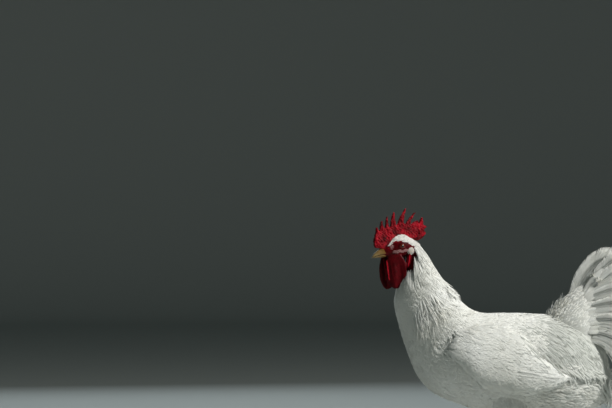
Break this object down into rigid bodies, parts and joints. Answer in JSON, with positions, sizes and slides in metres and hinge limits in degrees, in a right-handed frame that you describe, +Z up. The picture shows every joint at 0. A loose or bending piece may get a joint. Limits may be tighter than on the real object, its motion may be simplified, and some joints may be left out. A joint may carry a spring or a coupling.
{
  "type": "rooster model",
  "caption": "Life-size still model of a standing white rooster with a red single comb and wattles, yellow legs and an arched sickle-feathered tail, head turned slightly to its left.",
  "frame": {"origin": "on the ground, under the middle of the bounding box", "axes": "the bird faces -X, its left side is towards -Y, +Z is up"},
  "size_m": [0.5512, 0.165, 0.5047],
  "materials": {
    "plumage": "matte",
    "comb": "satin",
    "ear_lobe": "satin",
    "beak": "satin",
    "leg_scales": "satin",
    "claws": "satin",
    "eye": "gloss"
  },
  "bodies": {
    "root": {"rump": "plumage", "trunk": "plumage", "breast": "plumage", "neck_lower": "plumage", "neck_upper": "plumage", "head": "comb", "comb": "comb", "upper_beak": "beak", "lower_beak": "beak", "wattle_left": "comb", "ear_lobe_left": "ear_lobe", "eye_left": "eye", "wing_coverts_left": "plumage", "wing_secondaries_left": "plumage", "wing_primaries_left": "plumage", "thigh_left": "plumage", "shank_left": "leg_scales", "spur_left": "claws", "toe_middle_left": "leg_scales", "claw_middle_left": "claws", "toe_inner_left": "leg_scales", "claw_inner_left": "claws", "toe_outer_left": "leg_scales", "claw_outer_left": "claws", "toe_hallux_left": "leg_scales", "claw_hallux_left": "claws", "tail_fan_left": "plumage", "main_sickle_left": "plumage", "lesser_sickle_1_left": "plumage", "lesser_sickle_2_left": "plumage", "lesser_sickle_3_left": "plumage", "lesser_sickle_4_left": "plumage", "lesser_sickle_5_left": "plumage", "wattle_right": "comb", "ear_lobe_right": "ear_lobe", "eye_right": "eye", "wing_coverts_right": "plumage", "wing_secondaries_right": "plumage", "wing_primaries_right": "plumage", "thigh_right": "plumage", "shank_right": "leg_scales", "spur_right": "claws", "toe_middle_right": "leg_scales", "claw_middle_right": "claws", "toe_inner_right": "leg_scales", "claw_inner_right": "claws", "toe_outer_right": "leg_scales", "claw_outer_right": "claws", "toe_hallux_right": "leg_scales", "claw_hallux_right": "claws", "tail_fan_right": "plumage", "main_sickle_right": "plumage", "lesser_sickle_1_right": "plumage", "lesser_sickle_2_right": "plumage", "lesser_sickle_3_right": "plumage", "lesser_sickle_4_right": "plumage", "lesser_sickle_5_right": "plumage", "tail_coverts": "plumage"}
  },
  "joints": []
}
